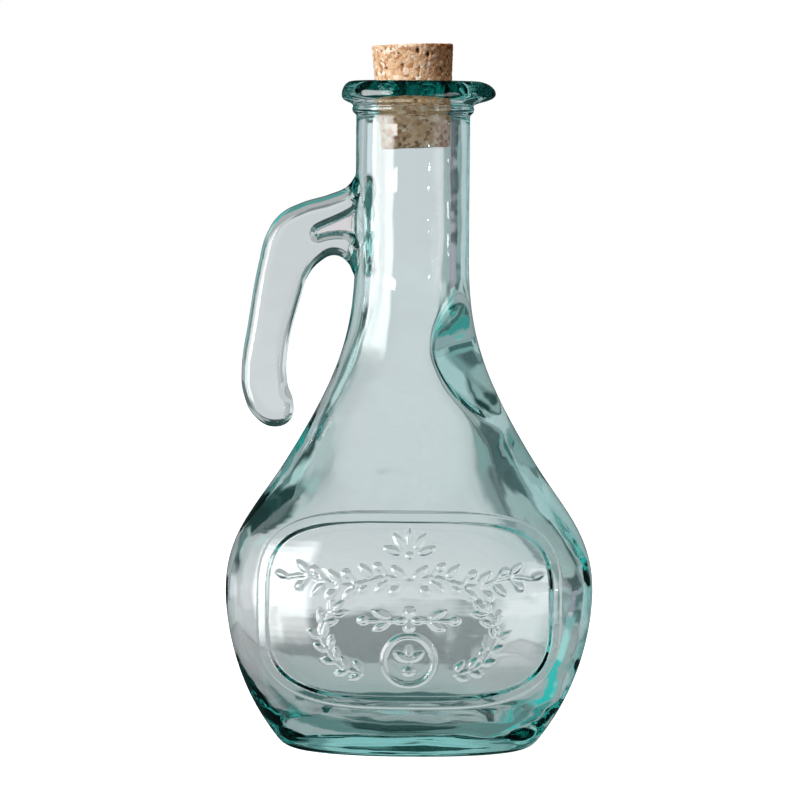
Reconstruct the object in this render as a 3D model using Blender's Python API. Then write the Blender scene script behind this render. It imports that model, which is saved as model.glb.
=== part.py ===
# Glass oil bottle with a handle, a pouring lip and a cork.
# The bottle stands on the XY plane, +Z up. Its front, with the embossed panel, faces -Y,
# its handle is at -X and its pouring lip at +X. Units are metres.

import math

import bmesh
import bpy
from mathutils import Matrix, Vector
from mathutils.geometry import interpolate_bezier

MM = 0.001

# Driving dimensions, in millimetres
BODY_HALF_WIDTH = 58.4
BODY_FLATNESS = 0.34  # how much less deep than wide the belly is
BELLY_HEIGHT = 50.5
NECK_RADIUS = 18.0
NECK_FOOT = 161.0  # where the flare of the body ends and the straight neck starts
FLAT_TO_ROUND = (52.0, 161.0)  # the oval body turns into the round neck between these heights
CORNER_POWER = 0.25  # the belly's section is a superellipse of power 2 plus this

BASE_HALF_WIDTH = 34.5
HEEL_HALF_WIDTH = 41.6
HEEL_HEIGHT = 3.0
PUSH_UP = 1.4  # depth of the recess under the base
PUSH_UP_SLOPE = 3.0  # width of the slope round the recess
FOOT_RING_WIDTH = 6.0

LIP_TOP = 211.6
LIP_RADIUS = 22.7
LIP_BULGE = 207.2  # height where the lip is widest
LIP_FOOT = 201.8
LIP_ROUND = 4.3  # how far the lip's top curves in
COLLAR_RADIUS = 19.3
COLLAR_HEIGHT = 1.4
SPOUT_REACH = 3.4  # how far the lip is drawn out for pouring
SPOUT_SPREAD = 30.0  # degrees to each side
SPOUT_RISE = 1.6

BORE_RADIUS = 12.2
BORE_FOOT = 154.0
MOUTH_RADIUS = 12.7
MOUTH_FLARE = ((0.0, 3.0), (0.6, 1.0), (2.2, -0.2))  # wider by, and below the top by
WALL = 4.6  # glass at the belly
FLOOR = 7.6  # glass under the oil

HANDLE_THICKNESS = 8.6
HANDLE_EDGE = 3.0  # radius of its rounded edges
HANDLE_WEB = 3.2  # glass left in the hollow beside the neck
HOLLOW_EDGE = 0.9

PANEL_CENTRE_HEIGHT = 47.3
PANEL_HALF_WIDTH = 47.2
PANEL_HALF_HEIGHT = 30.6
PANEL_POWER = 3.5
BORDER_WIDTH = 3.2
RELIEF = 0.8  # how far the border stands proud
SINK = 1.0  # how deep the embossing is rooted in the wall
MEDALLION_HEIGHT = 32.0
MEDALLION_RADIUS = 8.4
MEDALLION_RING = 1.5

LEAF_RELIEF = 0.6
WREATH_BRANCH = ((14.3, 27.7), (21.4, 30.2), (25.3, 35.5), (27.6, 40.3), (26.1, 44.2), (23.0, 47.7))
WREATH_PAIRS = 6
WREATH_LEAF = (4.6, 1.7)  # length and width
WREATH_REACH = 0.9  # share of the branch that carries leaves
WREATH_SPREAD = 38.0  # degrees between a leaf and its stem
GARLAND_HEIGHT = 56.5
GARLAND_HALF_WIDTH = 39.0
GARLAND_WAVE = (1.4, 26.0)  # rise and length of one wave
GARLAND_STEP = 4.9
GARLAND_LEAF = (6.4, 2.4)
GARLAND_SPREAD = 42.0
OLIVE = (3.0, 2.3)
PALMETTE_FOOT = 64.4
PALMETTE_TURNS = (18, 54, 90, 126, 162)
PALMETTE_LEAF = (6.6, 2.3)
PALMETTE_HEART = 2.3  # radius of the bare middle that the leaves fan from
ROSETTE_HEIGHT = 44.6
ROSETTE_PETAL = (3.4, 2.0)

CORK_TOP_RADIUS = 12.95
CORK_BOTTOM_RADIUS = 10.8
CORK_LENGTH = 32.5
CORK_BOTTOM_HEIGHT = 190.6
CORK_TILT = 2.3  # degrees, as it was pushed in
CORK_EDGE = 0.5

OUTER_SIDES = 46
INNER_SIDES = 32
BORDER_POINTS = 64
MEDALLION_POINTS = 24
SOLVER = "MANIFOLD"


def clear_scene():
    for obj in list(bpy.data.objects):
        bpy.data.objects.remove(obj, do_unlink=True)


def collection_named(name):
    made = bpy.data.collections.new(name)
    bpy.context.scene.collection.children.link(made)
    return made


def smooth_step(value, low, high):
    share = min(1.0, max(0.0, (value - low) / (high - low)))
    return share * share * (3 - 2 * share)


def bezier_outline(knots):
    """Points along a path of Bezier spans.

    A knot is (x, z, direction in degrees, reach back, reach ahead, steps from the knot before).
    """
    points = []
    for (x0, z0, turn0, _, ahead, _), (x1, z1, turn1, back, _, steps) in zip(knots, knots[1:]):
        start = Vector((x0, z0))
        end = Vector((x1, z1))
        leave = Vector((math.cos(math.radians(turn0)), math.sin(math.radians(turn0))))
        arrive = Vector((math.cos(math.radians(turn1)), math.sin(math.radians(turn1))))
        span = interpolate_bezier(start, start + leave * ahead, end - arrive * back, end, steps + 1)
        points += span if not points else span[1:]
    return [(point.x, point.y) for point in points]


def body_outline():
    """Half-widths and heights of the outside, from the heel to the foot of the neck."""
    return bezier_outline(
        [
            (BASE_HALF_WIDTH, 0.0, 0, 0, 4.0, 0),
            (HEEL_HALF_WIDTH, HEEL_HEIGHT, 51, 2.2, 24.0, 4),
            (BODY_HALF_WIDTH, BELLY_HEIGHT, 90, 7.5, 18.0, 7),
            (39.2, 91.8, 121.75, 18.0, 36.0, 7),
            (NECK_RADIUS, NECK_FOOT, 90, 26.0, 0, 9),
        ]
    )


def cavity_outline():
    """Half-widths and heights of the inside, from the edge of its floor to the bore."""
    return bezier_outline(
        [
            (30.0, FLOOR, 0, 0, 8.0, 0),
            (BODY_HALF_WIDTH - WALL, BELLY_HEIGHT - 1.0, 90, 24.0, 17.0, 7),
            (34.6, 88.8, 121.75, 16.0, 34.0, 5),
            (BORE_RADIUS, BORE_FOOT, 90, 22.0, 0, 8),
        ]
    )


def body_half_width(height):
    outline = body_outline()
    for (x0, z0), (x1, z1) in zip(outline, outline[1:]):
        if z0 <= height <= z1:
            return x0 + (x1 - x0) * (height - z0) / max(z1 - z0, 1e-6)
    return NECK_RADIUS


def flatness_at(height):
    return BODY_FLATNESS * (1 - smooth_step(height, *FLAT_TO_ROUND))


def power_at(height):
    return 2 + CORNER_POWER * (1 - smooth_step(height, *FLAT_TO_ROUND))


def oval_ring(half_width, half_depth, height, power, sides):
    """Points of a superellipse, anticlockwise from +X."""
    ring = []
    for step in range(sides):
        turn = 2 * math.pi * step / sides
        across = math.copysign(abs(math.cos(turn)) ** (2 / power), math.cos(turn))
        deep = math.copysign(abs(math.sin(turn)) ** (2 / power), math.sin(turn))
        ring.append(Vector((half_width * across, half_depth * deep, height)))
    return ring


def loft(name, rings, collection):
    """A closed mesh through rings of equal count. A ring of one point closes an end with a fan."""
    mesh = bmesh.new()
    rows = [[mesh.verts.new(point * MM) for point in ring] for ring in rings]
    for low, high in zip(rows, rows[1:]):
        count = max(len(low), len(high))
        for i in range(count):
            j = (i + 1) % count
            if len(low) == 1:
                mesh.faces.new((low[0], high[j], high[i]))
            elif len(high) == 1:
                mesh.faces.new((low[i], low[j], high[0]))
            else:
                mesh.faces.new((low[i], low[j], high[j], high[i]))
    return object_from(name, mesh, collection)


def object_from(name, mesh, collection):
    bmesh.ops.recalc_face_normals(mesh, faces=mesh.faces)
    data = bpy.data.meshes.new(name)
    mesh.to_mesh(data)
    mesh.free()
    obj = bpy.data.objects.new(name, data)
    collection.objects.link(obj)
    return obj


def lip_outline():
    """Radius, height and share of the spout, up the outside of the lip and over its top."""
    collar_top = LIP_FOOT + COLLAR_HEIGHT
    points = [
        (NECK_RADIUS, LIP_FOOT - 0.6, 0.0),
        (COLLAR_RADIUS, LIP_FOOT, 0.0),
        (COLLAR_RADIUS, collar_top, 0.0),
    ]
    underside = interpolate_bezier(
        Vector((COLLAR_RADIUS - 0.2, collar_top + 0.4)),
        Vector((COLLAR_RADIUS + 0.4, collar_top + 1.5)),
        Vector((LIP_RADIUS - 0.2, collar_top + 1.3)),
        Vector((LIP_RADIUS, LIP_BULGE)),
        6,
    )
    flare = LIP_RADIUS - COLLAR_RADIUS
    points += [(p.x, p.y, max(0.0, (p.x - COLLAR_RADIUS) / flare)) for p in underside]
    for step in range(1, 5):
        turn = math.pi / 2 * step / 4
        radius = LIP_RADIUS - LIP_ROUND * (1 - math.cos(turn))
        height = LIP_BULGE + (LIP_TOP - LIP_BULGE) * math.sin(turn)
        points.append((radius, height, 1.0 - 0.2 * step))
    return points


def spout(point, share):
    """Draws a point of the lip out towards +X and a little up."""
    turn = math.degrees(math.atan2(point.y, point.x))
    pull = share * math.exp(-((turn / SPOUT_SPREAD) ** 2))
    return point + Vector((SPOUT_REACH * pull, 0, SPOUT_RISE * pull))


def outside_rings():
    """Rings of the solid outside, from the middle of the recess under the base to the neck."""
    power = power_at(0)
    foot = BASE_HALF_WIDTH - FOOT_RING_WIDTH
    foot_depth = BASE_HALF_WIDTH * (1 - BODY_FLATNESS) - FOOT_RING_WIDTH
    rings = [
        [Vector((0, 0, PUSH_UP))],
        oval_ring(foot - PUSH_UP_SLOPE, foot_depth - PUSH_UP_SLOPE, PUSH_UP, power, OUTER_SIDES),
        oval_ring(foot, foot_depth, 0.0, power, OUTER_SIDES),
    ]
    for half_width, height in body_outline():
        half_depth = half_width * (1 - flatness_at(height))
        rings.append(oval_ring(half_width, half_depth, height, power_at(height), OUTER_SIDES))
    return rings


def lip_rings():
    rings = []
    for radius, height, share in lip_outline():
        ring = oval_ring(radius, radius, height, 2, OUTER_SIDES)
        rings.append([spout(point, share) for point in ring])
    rings.append([Vector((0, 0, LIP_TOP))])
    return rings


def cavity_rings():
    """Rings of the hollow, from its floor up through the bore and out of the mouth."""
    rings = [[Vector((0, 0, FLOOR))]]
    for half_width, height in cavity_outline():
        wall = body_half_width(height) - half_width
        half_depth = body_half_width(height) * (1 - flatness_at(height)) - wall
        rings.append(oval_ring(half_width, half_depth, height, power_at(height), INNER_SIDES))
    mouth = [(BORE_RADIUS, LIP_FOOT)]
    mouth += [(MOUTH_RADIUS + wider, LIP_TOP - below) for wider, below in MOUTH_FLARE]
    rings += [oval_ring(radius, radius, height, 2, INNER_SIDES) for radius, height in mouth]
    above = LIP_TOP + 4.0
    rings.append(oval_ring(mouth[-1][0], mouth[-1][0], above, 2, INNER_SIDES))
    rings.append([Vector((0, 0, above))])
    return rings


def flat_curve(name, outline, half_thickness, edge, collection, handle_type="AUTO"):
    """A flat outline in the XZ plane, thickened along Y, with its edge rounded by that radius."""
    data = bpy.data.curves.new(name, "CURVE")
    data.dimensions = "2D"
    data.fill_mode = "BOTH"
    data.resolution_u = 3
    data.extrude = (half_thickness - edge) * MM
    data.bevel_depth = edge * MM
    data.bevel_resolution = 2
    data.offset = -edge * MM
    spline = data.splines.new("BEZIER")
    spline.bezier_points.add(len(outline) - 1)
    for knot, (x, z) in zip(spline.bezier_points, outline):
        knot.co = (x * MM, z * MM, 0)
        knot.handle_left_type = knot.handle_right_type = handle_type
    spline.use_cyclic_u = True
    obj = bpy.data.objects.new(name, data)
    obj.rotation_euler = (math.pi / 2, 0, 0)
    collection.objects.link(obj)
    return obj


def mesh_of(obj, collection):
    """A curve made a closed mesh, with the curve removed."""
    bpy.context.view_layer.update()
    graph = bpy.context.evaluated_depsgraph_get()
    data = bpy.data.meshes.new_from_object(obj.evaluated_get(graph))
    made = bpy.data.objects.new(obj.name + "_mesh", data)
    made.matrix_world = obj.matrix_world.copy()
    collection.objects.link(made)
    bpy.data.objects.remove(obj, do_unlink=True)
    mesh = bmesh.new()
    mesh.from_mesh(data)
    bmesh.ops.remove_doubles(mesh, verts=mesh.verts, dist=1e-5)
    bmesh.ops.recalc_face_normals(mesh, faces=mesh.faces)
    mesh.to_mesh(data)
    mesh.free()
    return made


def boolean(obj, other, operation):
    """Applies one Boolean and removes the other object."""
    step = obj.modifiers.new(operation.lower(), "BOOLEAN")
    step.operation = operation
    step.object = other
    step.solver = SOLVER
    bpy.context.view_layer.update()
    graph = bpy.context.evaluated_depsgraph_get()
    data = bpy.data.meshes.new_from_object(obj.evaluated_get(graph))
    obj.modifiers.clear()
    obj.data = data
    bpy.data.objects.remove(other, do_unlink=True)
    return obj


def handle(collection):
    """The hooked handle: a strap with round edges, its foot in the neck and its tip free."""
    outline = [
        (-9.0, 188.0),
        (-17.6, 182.4),
        (-20.6, 178.4),
        (-26.2, 175.8),
        (-35.2, 173.0),
        (-41.8, 169.4),
        (-45.8, 163.8),
        (-48.6, 154.0),
        (-52.0, 134.0),
        (-53.8, 121.0),
        (-53.2, 112.4),
        (-49.4, 104.9),
        (-43.6, 101.8),
        (-38.2, 104.0),
        (-37.2, 109.4),
        (-39.2, 116.0),
        (-39.2, 126.0),
        (-35.2, 143.0),
        (-33.0, 149.6),
        (-29.0, 154.4),
        (-24.6, 156.4),
        (-20.6, 154.4),
        (-18.0, 149.8),
        (-9.0, 144.0),
        (-4.0, 154.0),
        (-4.0, 178.0),
    ]
    half = HANDLE_THICKNESS / 2
    return mesh_of(flat_curve("handle", outline, half, HANDLE_EDGE, collection), collection)


def handle_hollow(side, collection):
    """A cutter for the three-cornered hollow beside the neck, on one face of the handle."""
    outline = [(-31.2, 164.4), (-24.0, 168.8), (-16.0, 172.4), (-16.0, 160.6), (-24.0, 161.4)]
    half = HANDLE_THICKNESS / 2
    cutter = flat_curve("hollow", outline, half, HOLLOW_EDGE, collection)
    cutter.location.y = side * (HANDLE_WEB / 2 + half) * MM
    return mesh_of(cutter, collection)


def front_wall(x, z):
    """The point of the body's front over x and z."""
    half_width = body_half_width(z)
    power = power_at(z)
    across = min(1.0, abs(x) / half_width)
    return Vector((x, -half_width * (1 - flatness_at(z)) * (1 - across**power) ** (1 / power), z))


def wall_normal(x, z):
    reach = 0.5
    across = front_wall(x + reach, z) - front_wall(x - reach, z)
    upward = front_wall(x, z + reach) - front_wall(x, z - reach)
    return across.cross(upward).normalized()


def evenly_spaced(outline, count):
    """Points at equal steps along a closed outline."""
    closed = outline + outline[:1]
    lengths = [math.dist(a, b) for a, b in zip(closed, closed[1:])]
    step = sum(lengths) / count
    points = []
    along = 0.0
    for start, end, length in zip(closed, closed[1:], lengths):
        while len(points) < count and step * len(points) < along + length:
            share = (step * len(points) - along) / length
            points.append((start[0] + (end[0] - start[0]) * share, start[1] + (end[1] - start[1]) * share))
        along += length
    return points


def moulding(name, outline, width, collection):
    """A raised bead that follows a closed outline on the front wall."""
    section = [(-0.5, -SINK), (-0.5, 0.1), (-0.3, RELIEF), (0.3, RELIEF), (0.5, 0.1), (0.5, -SINK)]
    mesh = bmesh.new()
    rows = []
    count = len(outline)
    for i, (x, z) in enumerate(outline):
        normal = wall_normal(x, z)
        before = front_wall(*outline[i - 1])
        after = front_wall(*outline[(i + 1) % count])
        aside = (after - before).cross(normal).normalized()
        middle = front_wall(x, z)
        rows.append([mesh.verts.new((middle + aside * width * s + normal * rise) * MM) for s, rise in section])
    for i, row in enumerate(rows):
        following = rows[(i + 1) % count]
        for k in range(len(section)):
            j = (k + 1) % len(section)
            mesh.faces.new((row[k], row[j], following[j], following[k]))
    return object_from(name, mesh, collection)


def panel_outline():
    ring = oval_ring(
        PANEL_HALF_WIDTH - BORDER_WIDTH / 2, PANEL_HALF_HEIGHT - BORDER_WIDTH / 2, 0, PANEL_POWER, 720
    )
    return evenly_spaced([(p.x, PANEL_CENTRE_HEIGHT + p.y) for p in ring], BORDER_POINTS)


def medallion_outline():
    ring = oval_ring(MEDALLION_RADIUS - MEDALLION_RING / 2, MEDALLION_RADIUS - MEDALLION_RING / 2, 0, 2, 180)
    return evenly_spaced([(p.x, MEDALLION_HEIGHT + p.y) for p in ring], MEDALLION_POINTS)


def point_along(path, distance):
    """The point and the direction in degrees at a distance along a path."""
    for (x0, z0), (x1, z1) in zip(path, path[1:]):
        length = math.dist((x0, z0), (x1, z1))
        if distance <= length:
            share = distance / length
            return x0 + (x1 - x0) * share, z0 + (z1 - z0) * share, math.degrees(math.atan2(z1 - z0, x1 - x0))
        distance -= length
    return (*path[-1], math.degrees(math.atan2(z1 - z0, x1 - x0)))


def mirrored(leaves):
    return leaves + [(-x, z, 180 - turn, length, width) for x, z, turn, length, width in leaves]


def wreath_leaves():
    """Leaves in pairs along two branches round the medallion: foot, direction, length and width."""
    length = sum(math.dist(a, b) for a, b in zip(WREATH_BRANCH, WREATH_BRANCH[1:]))
    leaves = []
    for pair in range(WREATH_PAIRS):
        x, z, turn = point_along(WREATH_BRANCH, length * WREATH_REACH * pair / (WREATH_PAIRS - 1))
        for side in (-1, 1):
            leaf_turn = turn + side * WREATH_SPREAD
            offset = math.radians(turn + side * 90)
            leaves.append((x + 0.6 * math.cos(offset), z + 0.6 * math.sin(offset), leaf_turn, *WREATH_LEAF))
    return mirrored(leaves)


def garland_leaves():
    """A waving garland of leaves and olives from the middle of the panel to both sides."""
    rise, wave = GARLAND_WAVE
    leaves = []
    count = int((GARLAND_HALF_WIDTH - GARLAND_LEAF[0]) / GARLAND_STEP) + 1
    for i in range(count):
        x = 1.2 + i * GARLAND_STEP
        z = GARLAND_HEIGHT + rise * math.sin(2 * math.pi * x / wave)
        side = 1 if i % 2 == 0 else -1
        leaves.append((x, z + side * 0.6, side * GARLAND_SPREAD, *GARLAND_LEAF))
        leaves.append((x + 2.2, z - side * 2.4, -side * 30, *OLIVE))
    return mirrored(leaves)


def palmette_leaves():
    leaves = []
    for turn in PALMETTE_TURNS:
        way = math.radians(turn)
        foot_x = PALMETTE_HEART * math.cos(way)
        leaves.append((foot_x, PALMETTE_FOOT + PALMETTE_HEART * math.sin(way), turn, *PALMETTE_LEAF))
    return leaves


def rosette_leaves():
    """Four petals with a leaf and an olive to each side."""
    leaves = [
        (0.9 * math.cos(math.radians(turn)), ROSETTE_HEIGHT + 0.9 * math.sin(math.radians(turn)), turn, *ROSETTE_PETAL)
        for turn in (0, 90, 180, 270)
    ]
    return leaves + mirrored(
        [
            (6.2, ROSETTE_HEIGHT + 0.5, 28, 5.6, 2.0),
            (6.2, ROSETTE_HEIGHT - 0.5, -28, 5.6, 2.0),
            (12.6, ROSETTE_HEIGHT, 0, *OLIVE),
        ]
    )


def leaf_relief(name, leaves, collection):
    """Pointed leaves with a ridge, as shells in one mesh rooted in the front wall."""
    outline = [(0.0, 0.0), (0.3, -0.5), (0.7, -0.42), (1.0, 0.0), (0.7, 0.42), (0.3, 0.5)]
    mesh = bmesh.new()
    for x, z, turn, length, width in leaves:
        cos, sin = math.cos(math.radians(turn)), math.sin(math.radians(turn))

        def placed(along, across, rise):
            px = x + along * length * cos - across * width * sin
            pz = z + along * length * sin + across * width * cos
            return mesh.verts.new((front_wall(px, pz) + wall_normal(px, pz) * rise) * MM)

        low = [placed(a, b, -SINK) for a, b in outline]
        high = [placed(a, b, 0.1) for a, b in outline]
        foot, tip = placed(0.3, 0.0, LEAF_RELIEF), placed(0.7, 0.0, LEAF_RELIEF)
        mesh.faces.new(low)
        for i in range(len(outline)):
            j = (i + 1) % len(outline)
            mesh.faces.new((low[i], low[j], high[j], high[i]))
        mesh.faces.new((high[0], high[1], foot))
        mesh.faces.new((high[1], high[2], tip, foot))
        mesh.faces.new((high[2], high[3], tip))
        mesh.faces.new((high[3], high[4], tip))
        mesh.faces.new((high[4], high[5], foot, tip))
        mesh.faces.new((high[5], high[0], foot))
    bmesh.ops.triangulate(mesh, faces=mesh.faces)
    return object_from(name, mesh, collection)


def embossing(collection):
    leaves = wreath_leaves() + garland_leaves() + palmette_leaves() + rosette_leaves()
    return [
        moulding("border", panel_outline(), BORDER_WIDTH, collection),
        moulding("medallion", medallion_outline(), MEDALLION_RING, collection),
        leaf_relief("leaves", leaves, collection),
    ]


def material(name, color, roughness, transmission=0.0):
    made = bpy.data.materials.new(name)
    made.use_nodes = True
    shader = made.node_tree.nodes["Principled BSDF"]
    shader.inputs["Base Color"].default_value = (*color, 1)
    shader.inputs["Roughness"].default_value = roughness
    shader.inputs["Metallic"].default_value = 0.0
    shader.inputs["Transmission Weight"].default_value = transmission
    made.diffuse_color = (*color, 1)
    return made


def bottle(parts, helpers):
    """One piece of glass: body, neck, lip and handle, hollowed by the cavity."""
    glass = loft("bottle", outside_rings() + lip_rings(), parts)
    grip = handle(helpers)
    for side in (-1, 1):
        grip = boolean(grip, handle_hollow(side, helpers), "DIFFERENCE")
    boolean(glass, grip, "UNION")
    for piece in embossing(helpers):
        boolean(glass, piece, "UNION")
    boolean(glass, loft("cavity", cavity_rings(), helpers), "DIFFERENCE")
    glass.data.materials.clear()
    glass.data.materials.append(material("glass", (0.60, 0.80, 0.76), 0.02, 1.0))
    glass.data.shade_smooth()
    glass.data.set_sharp_from_angle(angle=math.radians(35))
    return glass


def cork(parts):
    """The tapered stopper, pushed in a little askew."""
    mesh = bmesh.new()
    middle = Matrix.Translation((0, 0, CORK_LENGTH / 2 * MM))
    bmesh.ops.create_cone(
        mesh,
        cap_ends=True,
        segments=40,
        radius1=CORK_BOTTOM_RADIUS * MM,
        radius2=CORK_TOP_RADIUS * MM,
        depth=CORK_LENGTH * MM,
        matrix=middle,
    )
    rims = [edge for edge in mesh.edges if any(len(face.verts) > 4 for face in edge.link_faces)]
    bmesh.ops.bevel(mesh, geom=rims, offset=CORK_EDGE * MM, segments=2, affect="EDGES")
    stopper = object_from("cork", mesh, parts)
    stopper.location = (0, 0, CORK_BOTTOM_HEIGHT * MM)
    stopper.rotation_euler = (0, -math.radians(CORK_TILT), 0)
    tilt_reach = math.sin(math.radians(CORK_TILT)) * (LIP_TOP - CORK_BOTTOM_HEIGHT)
    stopper.location.x = tilt_reach * MM
    stopper.data.materials.append(material("cork", (0.62, 0.42, 0.26), 0.9))
    stopper.data.shade_smooth()
    stopper.data.set_sharp_from_angle(angle=math.radians(40))
    return stopper


def main():
    clear_scene()
    parts = collection_named("oil bottle")
    helpers = collection_named("cutters")
    bottle(parts, helpers)
    cork(parts)


main()
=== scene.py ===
import math

import bpy
import numpy as np
from mathutils import Matrix, Vector, noise
from mathutils.geometry import interpolate_bezier


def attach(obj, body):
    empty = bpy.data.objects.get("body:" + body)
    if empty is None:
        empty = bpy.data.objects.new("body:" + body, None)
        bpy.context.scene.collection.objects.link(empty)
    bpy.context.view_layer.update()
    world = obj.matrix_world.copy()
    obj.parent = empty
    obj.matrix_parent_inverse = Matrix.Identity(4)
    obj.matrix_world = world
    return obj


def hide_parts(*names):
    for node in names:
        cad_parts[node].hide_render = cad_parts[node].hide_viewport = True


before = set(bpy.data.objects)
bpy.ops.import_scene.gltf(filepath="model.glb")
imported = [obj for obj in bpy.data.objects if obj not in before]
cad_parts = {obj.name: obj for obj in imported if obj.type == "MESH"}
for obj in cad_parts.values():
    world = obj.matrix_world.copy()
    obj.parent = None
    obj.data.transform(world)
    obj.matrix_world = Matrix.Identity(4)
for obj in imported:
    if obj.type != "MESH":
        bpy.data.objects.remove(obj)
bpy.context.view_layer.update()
mm = 0.001
farOff = 99.0  # mm from the axis, past every wall
print("solids loaded:", ", ".join(sorted(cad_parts)))


def linear(hexValue):
    shares = [int(hexValue[i:i + 2], 16) / 255 for i in (1, 3, 5)]
    return tuple(c / 12.92 if c <= 0.04045 else ((c + 0.055) / 1.055) ** 2.4 for c in shares) + (1.0,)


def addNode(tree, kind, settings=None, links=None):
    node = tree.nodes.new(kind)
    for name, value in (settings or {}).items():
        if name in node.inputs:
            node.inputs[name].default_value = value
        else:
            setattr(node, name, value)
    for name, socket in (links or {}).items():
        tree.links.new(socket, node.inputs[name])
    return node


def pick(piece):
    if bpy.context.mode != "OBJECT":
        bpy.ops.object.mode_set(mode="OBJECT")
    bpy.ops.object.select_all(action="DESELECT")
    piece.select_set(True)
    bpy.context.view_layer.objects.active = piece


def applyModifier(piece, kind, settings):
    pick(piece)
    modifier = piece.modifiers.new(kind.title(), kind)
    for name, value in settings.items():
        setattr(modifier, name, value)
    bpy.ops.object.modifier_apply(modifier=modifier.name)


def readPoints(piece):
    points = np.empty(len(piece.data.vertices) * 3)
    piece.data.vertices.foreach_get("co", points)
    return points.reshape(-1, 3) / mm


def writePoints(piece, points):
    piece.data.vertices.foreach_set("co", (points * mm).ravel())
    piece.data.update()


def subdivideWhere(piece, test, cuts):
    # splits the faces whose middles pass the test
    pick(piece)
    middles = np.empty(len(piece.data.polygons) * 3)
    piece.data.polygons.foreach_get("center", middles)
    chosen = test(middles.reshape(-1, 3) / mm)
    bpy.ops.object.mode_set(mode="EDIT")
    bpy.ops.mesh.select_mode(type="FACE")
    bpy.ops.mesh.select_all(action="DESELECT")
    bpy.ops.object.mode_set(mode="OBJECT")
    piece.data.polygons.foreach_set("select", chosen)
    bpy.ops.object.mode_set(mode="EDIT")
    bpy.ops.mesh.subdivide(number_cuts=cuts)
    bpy.ops.object.mode_set(mode="OBJECT")


def smoothStep(value, low, high):
    share = np.clip((value - low) / (high - low), 0, 1)
    return share * share * (3 - 2 * share)


def drawSpans(knots):
    # knot: radius, height, direction in degrees, reach back, reach ahead, steps from the last knot
    points = []
    for (x0, z0, turn0, _, ahead, _), (x1, z1, turn1, back, _, steps) in zip(knots, knots[1:]):
        leave = Vector((math.cos(math.radians(turn0)), math.sin(math.radians(turn0))))
        arrive = Vector((math.cos(math.radians(turn1)), math.sin(math.radians(turn1))))
        start, end = Vector((x0, z0)), Vector((x1, z1))
        span = interpolate_bezier(start, start + leave * ahead, end - arrive * back, end, steps + 1)
        points += span if not points else span[1:]
    return [(point.x, point.y) for point in points]


bottle = {
    "foot": [
        (0.0, 1.4, 0, 0, 8.0, 0), (24.0, 1.4, 0, 8.0, 2.2, 6), (29.6, 0.0, 0, 2.4, 1.0, 5),
        (34.5, 0.0, 0, 1.0, 4.0, 2),
    ],
    "side": [
        (34.5, 0.0, 0, 0, 4.0, 0), (41.6, 3.0, 51, 2.2, 24.0, 7), (58.4, 50.5, 90, 7.5, 18.0, 23),
        (39.2, 91.8, 121.75, 18.0, 36.0, 20), (18.0, 161.0, 90, 26.0, 12.0, 26),
        (18.0, 200.6, 90, 12.0, 0.6, 13),
    ],
    "lip": [
        (18.0, 200.6, 90, 0, 0.5, 0), (19.1, 201.9, 70, 0.5, 0.3, 4), (19.3, 202.9, 90, 0.4, 0.3, 3),
        (19.05, 203.7, 85, 0.35, 1.4, 3), (22.7, 207.2, 90, 2.5, 2.2, 9), (19.2, 211.6, 180, 2.1, 0.7, 8),
        (17.7, 211.0, 223, 0.6, 1.6, 4), (13.3, 206.9, 225, 1.6, 0.8, 6), (12.3, 204.9, 268, 1.0, 1.0, 5),
        (12.2, 201.0, 270, 1.0, 12.0, 2),
    ],
    "inside": [
        (12.2, 201.0, 270, 0, 12.0, 0), (12.2, 154.0, 270, 12.0, 22.0, 16),
        (34.6, 88.8, 301.75, 34.0, 16.0, 26), (53.8, 49.5, 270, 17.0, 24.0, 20),
        (30.0, 7.6, 180, 8.0, 6.0, 22), (0.0, 8.4, 180, 8.0, 0, 6),
    ],
    "around": 144,
    "flatness": 0.3427,  # how much less deep than wide the belly is
    "squareness": 0.25,  # how much fuller than an ellipse its section is
    "ovalUntil": (52.0, 161.0),  # the heights where the section starts and ends turning round
    "neckFrom": 161.0,  # above this it is round
    "footRing": 6.0,  # width of the ring it stands on
    "solidBelow": 7.0,  # under this height all the surface is the outside
    "lipFrom": 203.0,
    "mouthEdge": (13.0, 18.5),  # radii where the funnel of the mouth begins and ends
    "mouthPull": 0.2,  # share of the spout's reach that the mouth follows
    "wallWave": 0.22,  # unevenness of the inner wall
    "flutes": 0.06,  # fine upright lines in the neck
    "streaks": 0.6,  # level ripples low down on the right
    "floorWave": 0.7,  # unevenness of the floor inside
    # a thick lump of glass inside the right shoulder: height, how far right of the axis it begins
    "lump": [
        (82.0, 52.0), (86.0, 46.0), (92.0, 36.0), (98.0, 28.4), (103.0, 23.0), (108.0, 18.2),
        (115.0, 12.6), (122.0, 8.8), (128.0, 7.4), (134.0, 8.4), (140.0, 11.2), (146.0, 14.2),
        (152.0, 16.6), (158.0, 18.5),
    ],
    "lumpSoft": 5.0,  # its outline is averaged over this much above and below
    "lumpEdge": 1.2,  # how softly it starts
    "lumpTurn": (0.2, -6.0),  # slope and middle: it is thicker in front than behind
    "thickRight": 1.6,  # more glass on the right, low down
    # more glass inside the shoulders: how much, then where it begins, is most and ends
    "leftShoulder": (3.2, 66.0, 82.0, 112.0),
    "rightShoulder": (4.2, 52.0, 78.0, 112.0),
    "spoutReach": 3.4,  # how far the lip is drawn out
    "spoutRise": 0.5,
    "spoutFaces": (201.5, 1.1),  # height and spread of its finer faces
    "spoutSpread": 30.0,  # degrees to either side
}


def wallWidths(spans):
    outline = sorted(drawSpans(spans), key=lambda point: point[1])
    return np.array([z for _, z in outline]), np.array([x for x, _ in outline])


sideHeights, sideWidths = wallWidths(bottle["side"][1:])
insideHeights, insideWidths = wallWidths(bottle["inside"][:-1])


def flatnessAt(z):
    return bottle["flatness"] * (1 - smoothStep(z, *bottle["ovalUntil"]))


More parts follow.
